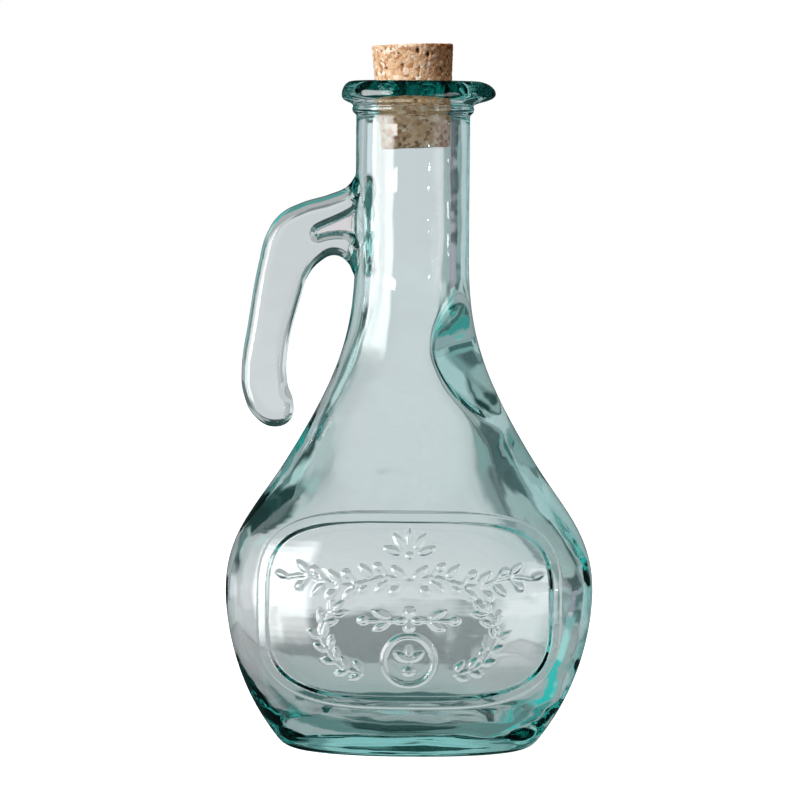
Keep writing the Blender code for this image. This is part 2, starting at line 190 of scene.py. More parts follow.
def powerAt(z):
    return 2 + bottle["squareness"] * (1 - smoothStep(z, *bottle["ovalUntil"]))


def frontWall(x, z):
    # depth of the outer front wall over x and z
    width = np.interp(z, sideHeights, sideWidths)
    power = powerAt(z)
    across = np.clip(np.abs(x) / width, 0, 1)
    return -width * (1 - flatnessAt(z)) * (1 - across ** power) ** (1 / power)


def spinGlass():
    outline = drawSpans(bottle["foot"])
    for part in ("side", "lip", "inside"):
        outline += drawSpans(bottle[part])[1:]
    profile = bpy.data.meshes.new("glassProfile")
    edges = [(i, i + 1) for i in range(len(outline) - 1)]
    profile.from_pydata([(x * mm, 0, z * mm) for x, z in outline], edges, [])
    glass = bpy.data.objects.new("bottle_glass", profile)
    bpy.context.scene.collection.objects.link(glass)
    applyModifier(glass, "SCREW", {
        "steps": bottle["around"], "render_steps": bottle["around"], "use_merge_vertices": True,
        "merge_threshold": 0.00001,
    })
    bpy.ops.object.mode_set(mode="EDIT")
    bpy.ops.mesh.select_all(action="SELECT")
    bpy.ops.mesh.remove_doubles(threshold=0.000005)
    bpy.ops.mesh.normals_make_consistent(inside=False)
    bpy.ops.object.mode_set(mode="OBJECT")
    return glass


def isOuter(radius, z):
    between = (np.interp(z, sideHeights, sideWidths) + np.interp(z, insideHeights, insideWidths)) / 2
    return np.where(z < bottle["solidBelow"], True, radius > between)


def isFront(middles):
    # the faces under the embossed panel
    x, y, z = middles.T
    radius = np.hypot(x, y)
    turned = np.abs(np.degrees(np.arctan2(x, -y)))
    low, high = panel["reach"]
    return isOuter(radius, z) & (turned < panel["reachTurn"]) & (z > low) & (z < high) & (radius > 35)


def isHandleRoot(middles):
    x, y, z = middles.T
    low, high = handle["rootHeights"]
    outside = np.hypot(x, y) > handle["rootRadius"] + 0.3
    return outside & (x < -7) & (np.abs(y) < 12) & (z > low) & (z < high)


def isSpout(middles):
    x, y, z = middles.T
    low, spread = bottle["spoutFaces"]
    return (z > low) & (x > 0) & (np.abs(y) < x * spread)


def drawInToOval(glass):
    # no operator draws a round wall in by its height, so the points are moved here
    x, y, z = readPoints(glass).T
    radius = np.hypot(x, y)
    turn = np.arctan2(y, x)
    outer = isOuter(radius, z)
    sideWidth = np.interp(z, sideHeights, sideWidths)
    body = z < bottle["neckFrom"]
    width = np.where(outer & body & (z > 12), sideWidth, radius)
    foot = bottle["side"][0][0]
    footDepth = foot * (1 - bottle["flatness"])
    ring = bottle["footRing"]
    depth = np.where(
        outer,
        np.where(
            (z < 2.0) & (radius < foot),
            np.interp(radius, [0, foot - ring, foot], [0, footDepth - ring, footDepth]),
            width * (1 - flatnessAt(z)),
        ),
        sideWidth * (1 - flatnessAt(z)) - (sideWidth - width),
    )
    floorRim = bottle["inside"][-2]
    rimWidth = np.interp(floorRim[1], sideHeights, sideWidths)
    rimDepth = rimWidth * (1 - bottle["flatness"]) - (rimWidth - floorRim[0])
    onFloor = ~outer & (radius <= floorRim[0] + 0.01) & (z < 9.0)
    depth = np.where(onFloor, radius * rimDepth / floorRim[0], depth)
    power = powerAt(z)
    across = np.sign(np.cos(turn)) * np.abs(np.cos(turn)) ** (2 / power)
    deep = np.sign(np.sin(turn)) * np.abs(np.sin(turn)) ** (2 / power)
    x = np.where(body, width * across, x)
    y = np.where(body, depth * deep, y)

    # the wall is thicker on the right, low down
    thicker = bottle["thickRight"] * (1 - smoothStep(z, 80, 150)) * smoothStep(z, 6, 30)
    x = np.where(~outer & body, x - thicker, x)
    # and at both shoulders
    for side, (thick, low, middle, high) in ((-1, bottle["leftShoulder"]), (1, bottle["rightShoulder"])):
        window = smoothStep(z, low, middle) * (1 - smoothStep(z, middle, high))
        outward = smoothStep(side * x / np.maximum(sideWidth, 1), 0.3, 0.85)
        x = np.where(~outer & body, x - side * thick * window * outward, x)
    heights, starts = zip(*bottle["lump"])
    steps = np.linspace(-bottle["lumpSoft"], bottle["lumpSoft"], 11)
    start = np.mean([np.interp(z + step, heights, starts) for step in steps], axis=0)
    slope, depthDrawn = bottle["lumpTurn"]
    start = np.where((z > heights[0]) & (z < heights[-1]), start + slope * (y - depthDrawn), farOff)
    edge = bottle["lumpEdge"]
    pressed = start - edge * np.log1p(np.exp(np.clip((start - x) / edge, -30, 30)))
    x = np.where(~outer & (start < farOff), np.minimum(x, pressed), x)

    # the lip is drawn out to one side for pouring, most at its widest
    collar = bottle["lip"][2][0]
    widest, widestHeight = bottle["lip"][4][:2]
    crest = bottle["lip"][5][0]
    lip = z > bottle["lipFrom"]
    most = bottle["mouthPull"]
    mouth = most * smoothStep(radius, *bottle["mouthEdge"])
    share = np.clip((radius - collar) / (widest - collar), 0, 1)
    over = mouth + (1 - most) * np.clip((radius - crest) / (widest - crest), 0, 1) ** 1.6
    share = np.where(z > widestHeight, over, np.where(lip, share, 0))
    share = np.where(lip & (radius < bottle["mouthEdge"][1]), np.minimum(share, mouth), share)
    pull = share * np.exp(-((np.degrees(turn) / bottle["spoutSpread"]) ** 2))
    x = x + bottle["spoutReach"] * pull
    z = z + bottle["spoutRise"] * pull
    writePoints(glass, np.stack([x, y, z], axis=1))
    return ~outer & (z < 200)


def waveAt(x, y, z, across, along):
    # smooth random waves of the given lengths in mm
    return noise.noise(Vector((x / across, y / across, z / along)))


def waveInnerWall(glass, inner):
    # blown glass is never even inside, least of all low down on the right, where it ran together
    points = readPoints(glass)
    lengths = np.hypot(points[:, 0], points[:, 1])
    for i in np.nonzero(inner & (lengths > 4))[0]:
        x, y, z = points[i]
        swell = waveAt(x, y, z, 17, 34) + 0.4 * waveAt(x, y, z, 7, 19)
        share = min(1.0, (z - 7) / 12) * min(1.0, (200 - z) / 25)
        streak = waveAt(x, y, z, 26, 4.5) + 0.5 * waveAt(x, y, z, 12, 2.2)
        run = min(1.0, max(0.0, (x - 8) / 22)) * min(1.0, max(0.0, (66 - z) / 30))
        flute = waveAt(x, y, z, 2.4, 90) * min(1.0, max(0.0, (z - 120) / 20))
        move = bottle["flutes"] * flute + bottle["wallWave"] * swell * max(0.0, share)
        move += bottle["streaks"] * streak * run
        points[i, :2] *= 1 + move / lengths[i]
        if z < 12:
            points[i, 2] += bottle["floorWave"] * noise.noise(Vector((x / 15, y / 9, 3.0)))
    writePoints(glass, points)


panel = {
    "middle": 47.3,
    "halfWidth": 47.2,
    "halfHeight": 30.6,
    "power": 3.5,  # how square the corners of its border are
    "reach": (13.0, 82.0),  # the heights that the finer faces and the relief keep to
    "reachTurn": 58,  # and how far round, in degrees
    "reachWidth": 52,
    "borderWidth": 3.2,
    "edge": 0.35,  # softness of the edges of the relief
    "relief": 0.8,
    "leafRelief": 0.73,
    "stemRelief": 0.58,
    "medallion": (0.0, 32.0, 8.4, 1.1),  # middle, radius, width of its ring
    "branch": [(14.3, 27.7), (21.4, 30.2), (25.3, 35.5), (27.6, 40.3), (26.1, 44.2), (23.0, 47.7)],
    "branchPairs": 7,
    "branchLeaf": (4.9, 1.9),
    "garlandHeight": 56.5,
    "garlandEnd": 37.6,
    "garlandWave": (1.4, 26.0),
    "garlandLeaves": 7,
    "garlandStep": 4.9,
    "garlandLeaf": (6.4, 2.5),
    "fan": (0.0, 64.4),  # foot of the leaves at the top
    "fanLeaf": (6.8, 2.5),
    "sprigHeight": 44.6,
    "sprigLeaf": (5.8, 2.2),
    "rosetteLeaf": (3.5, 2.2),
    "olive": (3.1, 2.5),
}


def withMirrored(shapes):
    return shapes + [(-x, z, 180 - turn, length, width) for x, z, turn, length, width in shapes]


def pointAlong(path, distance):
    for (x0, z0), (x1, z1) in zip(path, path[1:]):
        length = math.dist((x0, z0), (x1, z1))
        if distance <= length:
            share = distance / length
            turn = math.degrees(math.atan2(z1 - z0, x1 - x0))
            return x0 + (x1 - x0) * share, z0 + (z1 - z0) * share, turn
        distance -= length
    return (*path[-1], math.degrees(math.atan2(z1 - z0, x1 - x0)))


def smoothPath(path, steps=8):
    # rounds the corners of a drawn path
    knots = [Vector(point) for point in path]
    tangents = [knots[min(i + 1, len(knots) - 1)] - knots[max(i - 1, 0)] for i in range(len(knots))]
    points = []
    for i in range(len(knots) - 1):
        start, end = knots[i], knots[i + 1]
        span = interpolate_bezier(start, start + tangents[i] / 6, end - tangents[i + 1] / 6, end, steps + 1)
        points += span if not points else span[1:]
    return [(point.x, point.y) for point in points]


def garlandAt(x):
    # height of the garland's stem
    rise, wave = panel["garlandWave"]
    return panel["garlandHeight"] + rise * math.sin(2 * math.pi * x / wave)


def besidePoint(middle, reach, turn):
    way = math.radians(turn)
    return middle[0] + reach * math.cos(way), middle[1] + reach * math.sin(way)


def ornament():
    # leaves are foot x, foot z, direction, length, width
    leaves, olives, stems = [], [], []
    branch = smoothPath(panel["branch"])
    length = sum(math.dist(a, b) for a, b in zip(branch, branch[1:]))
    for pair in range(panel["branchPairs"]):
        x, z, turn = pointAlong(branch, length * 0.94 * pair / (panel["branchPairs"] - 1))
        for side in (-1, 1):
            away = math.radians(turn + side * 90)
            foot = (x + 0.4 * math.cos(away), z + 0.4 * math.sin(away))
            leaves.append((*foot, turn + side * 36, *panel["branchLeaf"]))
    leaves.append((*pointAlong(branch, length * 0.97), *panel["branchLeaf"]))
    stems.append(branch)
    garland = [(x, garlandAt(x)) for x in np.arange(0, panel["garlandEnd"], 0.75)]
    for i in range(panel["garlandLeaves"]):
        x = 1.2 + i * panel["garlandStep"]
        z = garlandAt(x)
        side = 1 if i % 2 == 0 else -1
        leaves.append((x, z + side * 0.5, side * 42, *panel["garlandLeaf"]))
        olives.append((x + 2.2, z - side * 2.4, -side * 30, *panel["olive"]))
        stems.append([(x + 0.4, z), (x + 2.4, z - side * 2.5)])
    leaves.append((*garland[-1], 20, 5.0, 2.2))
    stems.append(garland)
    sprig = panel["sprigHeight"]
    for side in (1, -1):
        leaves.append((6.2, sprig + side * 0.5, side * 28, *panel["sprigLeaf"]))
    olives.append((12.6, sprig, 0, *panel["olive"]))
    stems.append([(4.6, sprig), (12.8, sprig)])
    leaves, olives = withMirrored(leaves), withMirrored(olives)
    stems += [[(-x, z) for x, z in stem] for stem in stems]
    for turn in (18, 54, 90, 126, 162):
        leaves.append((*besidePoint(panel["fan"], 2.3, turn), turn, *panel["fanLeaf"]))
    olives.append((-1.3, panel["fan"][1] + 0.2, 0, 2.6, 2.2))
    for turn in (0, 90, 180, 270):
        leaves.append((*besidePoint((0.0, sprig), 0.8, turn), turn, *panel["rosetteLeaf"]))
    # a sprig with one olive in the medallion
    leaves += [(0.6, 31.8, 38, 5.0, 2.3), (-0.6, 31.8, 142, 5.0, 2.3), (0.0, 32.4, 90, 4.6, 2.0)]
    olives.append((-1.9, 28.6, 0, 3.8, 3.2))
    stems.append([(0.0, 30.2), (0.0, 33.0)])
    return leaves, olives, stems


def localPlace(x, z, shape):
    footX, footZ, turn, length, width = shape
    cos, sin = math.cos(math.radians(turn)), math.sin(math.radians(turn))
    along = ((x - footX) * cos + (z - footZ) * sin) / length
    across = (-(x - footX) * sin + (z - footZ) * cos) / width
    return along, across


def distanceToPath(x, z, path):
    nearest = np.full(x.shape, farOff)
    for (x0, z0), (x1, z1) in zip(path, path[1:]):
        dx, dz = x1 - x0, z1 - z0
        share = np.clip(((x - x0) * dx + (z - z0) * dz) / (dx * dx + dz * dz), 0, 1)
        nearest = np.minimum(nearest, np.hypot(x - x0 - share * dx, z - z0 - share * dz))
    return nearest


def reliefAt(x, z):
    relief = np.zeros(x.shape)
    half = panel["borderWidth"] / 2
    border = []
    for step in range(361):
        turn = math.radians(step)
        across = math.copysign(abs(math.cos(turn)) ** (2 / panel["power"]), math.cos(turn))
        up = math.copysign(abs(math.sin(turn)) ** (2 / panel["power"]), math.sin(turn))
        width, height = panel["halfWidth"] - half, panel["halfHeight"] - half
        border.append((width * across, panel["middle"] + height * up))
    reach = distanceToPath(x, z, border)
    raised = 1 - smoothStep(reach, half - 0.45, half + panel["edge"])
    relief = np.maximum(relief, panel["relief"] * raised)
    ringX, ringZ, ringRadius, ringWidth = panel["medallion"]
    reach = np.abs(np.hypot(x - ringX, z - ringZ) - (ringRadius - ringWidth / 2))
    raised = 1 - smoothStep(reach, 0.2, ringWidth / 2 + panel["edge"])
    relief = np.maximum(relief, panel["relief"] * raised)
    leaves, olives, stems = ornament()
    for leaf in leaves:
        along, across = localPlace(x, z, leaf)
        inside = (along > 0) & (along < 1)
        half = np.where(inside, np.sin(np.pi * np.clip(along, 0, 1) ** 0.85) * 0.5, 1e-3)
        reach = np.clip(np.abs(across) / np.maximum(half, 1e-3), 0, 2)
        lens = np.where(inside, np.clip(1 - reach ** 2.4, 0, 1) ** 0.6, 0)
        relief = np.maximum(relief, panel["leafRelief"] * lens * np.clip(half * 3.2, 0, 1))
    for olive in olives:
        along, across = localPlace(x, z, olive)
        dome = np.sqrt(np.clip(1 - (2 * along - 1) ** 2 - (2 * across) ** 2, 0, 1))
        relief = np.maximum(relief, panel["leafRelief"] * 1.04 * dome ** 0.8)
    for stem in stems:
        reach = distanceToPath(x, z, stem)
        relief = np.maximum(relief, panel["stemRelief"] * (1 - smoothStep(reach, 0.1, 0.6)))
    return relief


def emboss(glass):
    points = readPoints(glass)
    x, y, z = points.T
    low, high = panel["reach"]
    onFront = (y < 0) & (np.abs(y - frontWall(x, z)) < 0.6)
    onFront &= (z > low) & (z < high) & (np.abs(x) < panel["reachWidth"])
    places = np.nonzero(onFront)[0]
    points[places, 1] = frontWall(x[places], z[places])
    writePoints(glass, points)
    relief = reliefAt(x[places], z[places])
    group = glass.vertex_groups.new(name="embossing")
    for i, height in zip(places[relief > 0], relief[relief > 0]):
        group.add([int(i)], float(height), "REPLACE")
    applyModifier(glass, "DISPLACE", {
        "strength": mm, "mid_level": 0.0, "direction": "NORMAL", "vertex_group": "embossing",
    })
    glass.vertex_groups.remove(glass.vertex_groups["embossing"])


handle = {
    "outline": [
        (-9.0, 188.0), (-17.6, 182.4), (-20.6, 178.4), (-26.2, 175.8), (-35.2, 173.0), (-41.8, 169.4),
        (-45.8, 163.8), (-48.6, 154.0), (-52.0, 134.0), (-53.8, 121.0), (-53.2, 112.4), (-49.4, 104.9),
        (-43.6, 101.8), (-38.2, 104.0), (-37.2, 109.4), (-39.2, 116.0), (-39.2, 126.0), (-35.2, 143.0),
        (-33.0, 149.6), (-29.0, 154.4), (-24.6, 156.4), (-20.6, 154.4), (-18.0, 149.8), (-9.0, 144.0),
        (-4.0, 154.0), (-4.0, 178.0),
    ],
    "thickness": 8.6,
    "edge": 4.1,  # radius of its rounded edges
    "voxel": 0.5,
    "rootRadius": 15.2,  # where its root ends inside the neck's wall
    "rootHeights": (140, 195),
    "hollow": [
        (-33.0, 163.7), (-32.1, 165.7), (-29.7, 167.3), (-23.9, 169.9), (-20.7, 171.8), (-19.0, 174.0),
        (-16.0, 176.5), (-9.0, 177.0), (-9.0, 150.0), (-14.0, 153.6), (-15.8, 157.1), (-18.7, 160.0),
        (-21.9, 161.5), (-26.0, 161.2), (-30.1, 160.3), (-32.4, 161.4),
    ],
    "hollowSlope": 2.6,  # how far its sides slope in
    "web": 3.0,  # thickness of the glass left between the branches
    "flare": 3.0,  # how far its faces swell where they meet the neck
    "melt": 3.0,  # how far the joint with the neck is softened
}


def makeStrap():
    # a flat curve with round edges, remeshed evenly
    half = handle["thickness"] / 2
    curve = bpy.data.curves.new("handleStrap", "CURVE")
    curve.dimensions = "2D"
    curve.fill_mode = "BOTH"
    curve.resolution_u = 8
    curve.extrude = (half - handle["edge"]) * mm
    curve.bevel_depth = handle["edge"] * mm
    curve.bevel_resolution = 5
    curve.offset = -handle["edge"] * mm
    spline = curve.splines.new("BEZIER")
    spline.bezier_points.add(len(handle["outline"]) - 1)
    for knot, (x, z) in zip(spline.bezier_points, handle["outline"]):
        knot.co = (x * mm, z * mm, 0)
        knot.handle_left_type = knot.handle_right_type = "AUTO"
    spline.use_cyclic_u = True
    strap = bpy.data.objects.new("handleStrap", curve)
    bpy.context.scene.collection.objects.link(strap)
    pick(strap)
    bpy.ops.object.convert(target="MESH")
    bpy.ops.object.mode_set(mode="EDIT")
    bpy.ops.mesh.select_all(action="SELECT")
    bpy.ops.mesh.remove_doubles(threshold=0.00001)
    bpy.ops.mesh.normals_make_consistent(inside=False)
    bpy.ops.object.mode_set(mode="OBJECT")
    strap.rotation_euler = (math.pi / 2, 0, 0)
    bpy.ops.object.transform_apply(location=True, rotation=True, scale=True)
    applyModifier(strap, "REMESH", {"mode": "VOXEL", "voxel_size": handle["voxel"] * mm})
    applyModifier(strap, "SMOOTH", {"factor": 0.5, "iterations": 5})
    return strap


def insideDistance(x, z, outline):
    # how far inside a closed outline each point lies, 0 outside it
    closed = outline + outline[:1]
    inside = np.zeros(x.shape, bool)
    for (x0, z0), (x1, z1) in zip(closed, closed[1:]):
        if z0 != z1:
            crosses = ((z0 > z) != (z1 > z)) & (x < (x1 - x0) * (z - z0) / (z1 - z0) + x0)
            inside ^= crosses
    return np.where(inside, distanceToPath(x, z, closed), 0)


def pressHollow(strap):
    # both faces are pressed in between the two branches, down to a thin web
    points = readPoints(strap)
    x, y, z = points.T
    outline = smoothPath(handle["hollow"] + handle["hollow"][:1])
    deep = smoothStep(insideDistance(x, z, outline), 0, handle["hollowSlope"])
    half = handle["thickness"] / 2
    most = half - (half - handle["web"] / 2) * deep
    points[:, 1] = np.where(deep > 0, np.clip(y, -most, most), y)
    writePoints(strap, points)


def flareRoot(strap):
    # the faces swell in a hollow curve to meet the neck
    x, y, z = readPoints(strap).T
    away = np.clip(np.hypot(x, y) - np.interp(z, sideHeights, sideWidths), 0, handle["flare"])
    swell = handle["flare"] - np.sqrt(handle["flare"] ** 2 - (handle["flare"] - away) ** 2)
    y = y * (1 + 2 * swell / handle["thickness"])
    writePoints(strap, np.stack([x, y, z], axis=1))


def combine(piece, other, operation):
    applyModifier(piece, "BOOLEAN", {"operation": operation, "object": other, "solver": "MANIFOLD"})
    bpy.data.objects.remove(other, do_unlink=True)


def makeHandle():
    strap = makeStrap()
    pressHollow(strap)
    flareRoot(strap)
    # the root ends inside the neck's wall
    bpy.ops.object.select_all(action="DESELECT")
    bpy.ops.mesh.primitive_cylinder_add(
        vertices=96, radius=handle["rootRadius"] * mm, depth=80 * mm, location=(0, 0, 166 * mm),
    )
    combine(strap, bpy.context.active_object, "DIFFERENCE")
    return strap


def meltJoint(glass):
    # hot glass flows into the corner between handle and neck
    x, y, z = readPoints(glass).T
    radius = np.hypot(x, y)
    outside = radius - np.interp(z, sideHeights, sideWidths)
    reach = handle["melt"]
    weight = (1 - smoothStep(outside, 1.0, 1.0 + reach)) * (1 - smoothStep(np.abs(y), 5.0, 5.0 + reach))
    low, high = handle["rootHeights"]
    weight *= (x < -8) & (z > low) & (z < high - 1) & (radius > 17.4)
    group = glass.vertex_groups.new(name="joint")
    for i in np.nonzero(weight > 0.01)[0]:
        group.add([int(i)], float(weight[i]), "REPLACE")
    applyModifier(glass, "SMOOTH", {"factor": 0.5, "iterations": 14, "vertex_group": "joint"})
    glass.vertex_groups.remove(glass.vertex_groups["joint"])


glass = spinGlass()
print("glass spun:", len(glass.data.polygons), "faces")
subdivideWhere(glass, isFront, 4)
subdivideWhere(glass, isHandleRoot, 1)
subdivideWhere(glass, isSpout, 1)
inner = drawInToOval(glass)
waveInnerWall(glass, inner)
emboss(glass)
print("panel embossed:", len(glass.data.polygons), "faces")
combine(glass, makeHandle(), "UNION")
meltJoint(glass)
pick(glass)
bpy.ops.object.mode_set(mode="EDIT")
bpy.ops.mesh.select_all(action="SELECT")
bpy.ops.mesh.remove_doubles(threshold=0.000005)
bpy.ops.object.mode_set(mode="OBJECT")
bpy.ops.object.shade_smooth()
print("handle joined:", sum(len(face.vertices) - 2 for face in glass.data.polygons), "triangles")


cork = {
    "topRadius": 12.95,
    "bottomRadius": 10.8,
    "length": 32.5,
    "bottomHeight": 190.59,
    "tilt": 2.3,
    "tiltHeight": 211.6,  # it leans about the middle of the mouth
    "voxel": 0.34,
    "granule": 1.9,  # how far apart they are, in mm
    "grain": 0.13,  # relief of the granules
    "sidePits": 90,
    "topPits": 34,
    "chips": 26,  # along the two rims
    "seed": 4,
}


def makeCork():
    bpy.ops.object.select_all(action="DESELECT")
    bpy.ops.mesh.primitive_cone_add(
        vertices=96, radius1=cork["bottomRadius"] * mm, radius2=cork["topRadius"] * mm,
        depth=cork["length"] * mm, location=(0, 0, cork["length"] / 2 * mm),
    )
    stopper = bpy.context.active_object
    stopper.name = "cork_stopper"
    bpy.ops.object.transform_apply(location=True, rotation=True, scale=True)
    applyModifier(stopper, "BEVEL", {"width": 0.35 * mm, "segments": 2, "limit_method": "ANGLE"})
    applyModifier(stopper, "REMESH", {
        "mode": "VOXEL", "voxel_size": cork["voxel"] * mm, "use_smooth_shade": True,
    })
    points = readPoints(stopper)
    normals = np.empty(len(points) * 3)
    stopper.data.vertices.foreach_get("normal", normals)
    normals = normals.reshape(-1, 3)
    # granules stand up to a tenth of a millimetre proud of the seams between them
    push = np.zeros(len(points))
    for i, point in enumerate(points):
        near = noise.voronoi(Vector(point / cork["granule"]))[0]
        push[i] = cork["grain"] * (min(1.0, (near[1] - near[0]) * 3.0) - 0.9)
        push[i] += 0.05 * noise.noise(Vector(point / 0.8))
    # pits where granules fell out, and chips along the two rims; their middles are also marked for painted
    # shade
    draw = np.random.default_rng(cork["seed"])
    pitShade = np.zeros(len(points))
    spots = []

    def addSpot(radius, turn, z, sizes, depths):
        size, deep = draw.uniform(*sizes), draw.uniform(*depths)
        spots.append((radius * math.cos(turn), radius * math.sin(turn), z, size, deep))

    for _ in range(cork["sidePits"]):
        z = draw.uniform(0.5, cork["length"] - 0.5)
        turn = draw.uniform(0, 2 * math.pi)
        radius = np.interp(z, [0, cork["length"]], [cork["bottomRadius"], cork["topRadius"]])
        addSpot(radius, turn, z, (0.35, 0.95), (0.3, 0.8))
    for _ in range(cork["topPits"]):
        turn = draw.uniform(0, 2 * math.pi)
        radius = cork["topRadius"] * math.sqrt(draw.uniform(0, 0.95))
        addSpot(radius, turn, cork["length"], (0.3, 0.9), (0.2, 0.6))
    for i in range(cork["chips"]):
        turn = draw.uniform(0, 2 * math.pi)
        top = i % 2 == 0
        radius = cork["topRadius"] if top else cork["bottomRadius"]
        addSpot(radius, turn, cork["length"] if top else 0.0, (0.4, 0.9), (0.2, 0.45))
    for x, y, z, size, deep in spots:
        stretch = draw.uniform(0.6, 1.5)
        away = points - np.array([x, y, z])
        away[:, 2] *= stretch
        share = np.clip(1 - np.linalg.norm(away, axis=1) / size, 0, 1)
        push -= deep * smoothStep(share, 0, 0.7)
        # the middle of each pit and chip is marked for painted shade in the colour
        pitShade = np.maximum(pitShade, smoothStep(share, 0.15, 0.6))
    points += normals * push[:, None]
    tilt = math.radians(cork["tilt"])
    x, z = points[:, 0].copy(), points[:, 2].copy()
    lean = math.sin(tilt) * (cork["tiltHeight"] - cork["bottomHeight"])
    points[:, 0] = x * math.cos(tilt) - z * math.sin(tilt) + lean
    points[:, 2] = x * math.sin(tilt) + z * math.cos(tilt) + cork["bottomHeight"]
    writePoints(stopper, points)
    # the mark of painted shade in the pits and chips goes to the material
    attribute = stopper.data.attributes.new("pitShade", "FLOAT", "POINT")
    attribute.data.foreach_set("value", pitShade)
    return stopper


stopper = makeCork()
print("cork made:", len(stopper.data.polygons), "faces")


def recycledGlass():
    # soda-lime glass from melted bottles, blown in a mould: clear when thin, green-blue when thick
    material = bpy.data.materials.new("recycled soda-lime glass, mould blown")
    material.use_nodes = True
    tree = material.node_tree
    shader = tree.nodes["Principled BSDF"]
    output = tree.nodes["Material Output"]
    shader.inputs["Base Color"].default_value = linear("#FFFFFF")
    shader.inputs["Roughness"].default_value = 0.0
    shader.inputs["IOR"].default_value = 1.52
    shader.inputs["Transmission Weight"].default_value = 1.0
    place = addNode(tree, "ShaderNodeTexCoord").outputs["Object"]
    # soft waves 12 mm apart, from the glass cooling in the mould
    waves = addNode(
        tree, "ShaderNodeTexNoise", {"Scale": 1 / (12.5 * mm), "Detail": 1.5}, {"Vector": place},
    )
    bump = addNode(
        tree, "ShaderNodeBump", {"Strength": 0.45, "Distance": 0.6 * mm}, {"Height": waves.outputs["Fac"]},
    )
    tree.links.new(bump.outputs["Normal"], shader.inputs["Normal"])
    tint = addNode(tree, "ShaderNodeVolumeAbsorption", {"Color": linear("#76E7E3"), "Density": 27.0})
    tree.links.new(tint.outputs["Volume"], output.inputs["Volume"])
    return material


def pressedCork():
    # granules of bark 1 to 3 mm across, pressed with a little binder and left raw:
    # a dull tan, mottled lighter and darker, with brown specks, and the pits and chips darkened with
    # painted shade
    material = bpy.data.materials.new("agglomerated cork, pressed and raw")
    material.use_nodes = True
    tree = material.node_tree
    shader = tree.nodes["Principled BSDF"]
    shader.inputs["Roughness"].default_value = 0.92
    shader.inputs["IOR"].default_value = 1.4
    place = addNode(tree, "ShaderNodeTexCoord").outputs["Object"]
    granuleScale = 1 / (1.3158 * mm)
    warp = addNode(
        tree, "ShaderNodeTexNoise", {"Scale": 1 / (1.1111 * mm), "Detail": 2.0}, {"Vector": place},
    )
    bent = addNode(tree, "ShaderNodeMix", {"data_type": "RGBA", "blend_type": "LINEAR_LIGHT"})
    bent.inputs[0].default_value = 0.6 * mm
    tree.links.new(place, bent.inputs[6])
    tree.links.new(warp.outputs["Color"], bent.inputs[7])
    bentPlace = {"Vector": bent.outputs[2]}
    granules = addNode(tree, "ShaderNodeTexVoronoi", {"Scale": granuleScale}, bentPlace)
    shade = addNode(tree, "ShaderNodeSeparateColor", {}, {"Color": granules.outputs["Color"]})
    tones = addNode(tree, "ShaderNodeValToRGB", {}, {"Fac": shade.outputs["Red"]})
    ramp = tones.color_ramp
    ramp.elements[0].position, ramp.elements[0].color = 0.0, linear("#9C6840")
    ramp.elements[1].position, ramp.elements[1].color = 1.0, linear("#F0D8BE")
    for position, tone in ((0.18, "#BD8A61"), (0.36, "#D3A47C"), (0.6, "#DDB28C"), (0.8, "#CFA078")):
        ramp.elements.new(position).color = linear(tone)
    specks = addNode(
        tree, "ShaderNodeTexNoise", {"Scale": 1 / (0.6667 * mm), "Detail": 3.0}, {"Vector": place},
    )
    dark = addNode(
        tree, "ShaderNodeMapRange", {"From Min": 0.6, "From Max": 0.72}, {"Value": specks.outputs["Fac"]},
    )
    pitShadeMask = addNode(tree, "ShaderNodeAttribute", {"attribute_name": "pitShade"})
    colour = tones.outputs["Color"]
    # the brown specks are the cork's own colour; the pits and chips are darkened with painted shade
    for share, tone in ((dark.outputs["Result"], "#8A5630"), (pitShadeMask.outputs["Fac"], "#5E3A20")):
        laid = addNode(tree, "ShaderNodeMix", {"data_type": "RGBA"})
        tree.links.new(share, laid.inputs[0])
        tree.links.new(colour, laid.inputs[6])
        laid.inputs[7].default_value = linear(tone)
        colour = laid.outputs[2]
    tree.links.new(colour, shader.inputs["Base Color"])
    seams = addNode(
        tree, "ShaderNodeTexVoronoi", {"Scale": granuleScale, "feature": "DISTANCE_TO_EDGE"}, bentPlace,
    )
    bump = addNode(tree, "ShaderNodeBump", {"Strength": 0.6, "Distance": 0.3 * mm}, {
        "Height": seams.outputs["Distance"],
    })
    tree.links.new(bump.outputs["Normal"], shader.inputs["Normal"])
    return material


glass.data.materials.clear()
glass.data.materials.append(recycledGlass())
stopper.data.materials.clear()
stopper.data.materials.append(pressedCork())
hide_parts("bottle")
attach(glass, "root")
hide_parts("cork")
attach(stopper, "root")
print("materials set")


